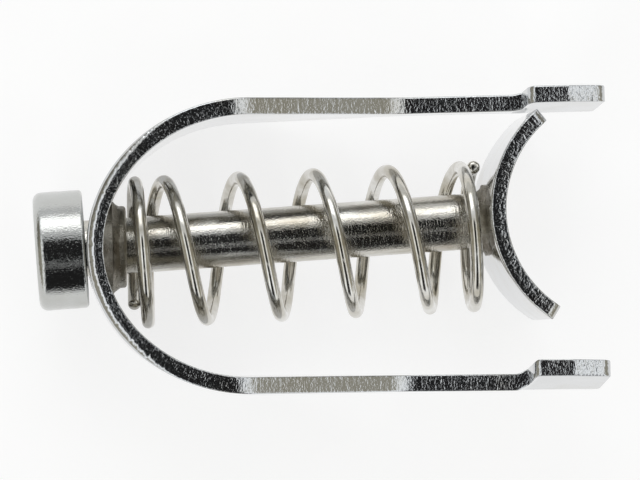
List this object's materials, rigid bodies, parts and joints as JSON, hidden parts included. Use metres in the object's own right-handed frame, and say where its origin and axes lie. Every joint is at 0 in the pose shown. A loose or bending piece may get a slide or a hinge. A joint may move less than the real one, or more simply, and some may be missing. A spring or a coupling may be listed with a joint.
{
  "type": "hitch pin lock",
  "caption": "Sprung pull-pin lock: bent strap yoke with hooked tips, and a knob-pulled plunger with an arc saddle that clamps a round tube.",
  "frame": {"origin": "centre of the saddle's concave arc, at half the saddle's width", "axes": "+X along the plunger towards the open end, +Y across the two arms, +Z along the strap's width, away from the edge the lock lies on"},
  "size_m": [0.1222, 0.0667, 0.033],
  "materials": {
    "plated_strap": "polished",
    "plated_pin": "satin",
    "plated_knob": "polished",
    "plated_spring": "polished",
    "weld": "rough"
  },
  "bodies": {
    "yoke_body": {"yoke": "plated_strap", "guide_bush": "weld", "bush_weld": "weld", "spring": "plated_spring"},
    "plunger": {"pull_pin": "plated_pin", "pull_knob": "plated_knob", "saddle": "plated_strap", "saddle_weld": "weld"}
  },
  "joints": [
    {"name": "plunger_slide", "type": "slide", "parent": "yoke_body", "child": "plunger", "axis": [1, 0, 0], "range_m": [-0.04, 0], "stiffness_N_per_m": 5300, "springref_m": 0.004, "deforming": ["spring"]}
  ]
}
